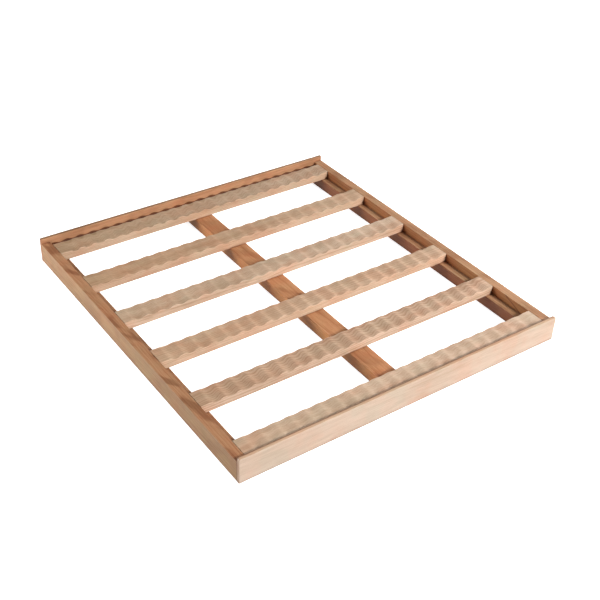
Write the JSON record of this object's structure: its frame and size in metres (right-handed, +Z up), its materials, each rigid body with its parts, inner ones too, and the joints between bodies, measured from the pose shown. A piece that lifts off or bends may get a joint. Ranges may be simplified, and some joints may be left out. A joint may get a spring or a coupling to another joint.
{
  "type": "slatted wooden bottle shelf",
  "caption": "Flat beech shelf for a wine cabinet: scalloped cross slats let in between rebated side rails, with a front fascia, a back board and a centre stretcher.",
  "frame": {"origin": "centre of the shelf's footprint, on the plane that the rails rest on", "axes": "+Z up, +X to the right along the fascia, +Y from the fascia at the front to the back board"},
  "size_m": [0.53, 0.575, 0.04],
  "materials": {
    "beech_pale": "planed pale beech, sanded, no varnish",
    "beech_slat": "pale beech, scallops milled across the grain",
    "beech_warm": "steamed beech, warmer and redder, planed",
    "brad_steel": "bright steel brads"
  },
  "bodies": {
    "root": {"front_fascia": "beech_pale", "back_board": "beech_warm", "left_rail": "beech_warm", "right_rail": "beech_warm", "centre_stretcher": "beech_warm", "slat_1": "beech_slat", "slat_2": "beech_slat", "slat_3": "beech_slat", "slat_4": "beech_slat", "slat_5": "beech_slat", "slat_6": "beech_slat", "left_ledge_brads": "brad_steel", "right_ledge_brads": "brad_steel", "stretcher_brads": "brad_steel", "fascia_pins": "brad_steel", "back_board_brads": "brad_steel"}
  },
  "joints": []
}
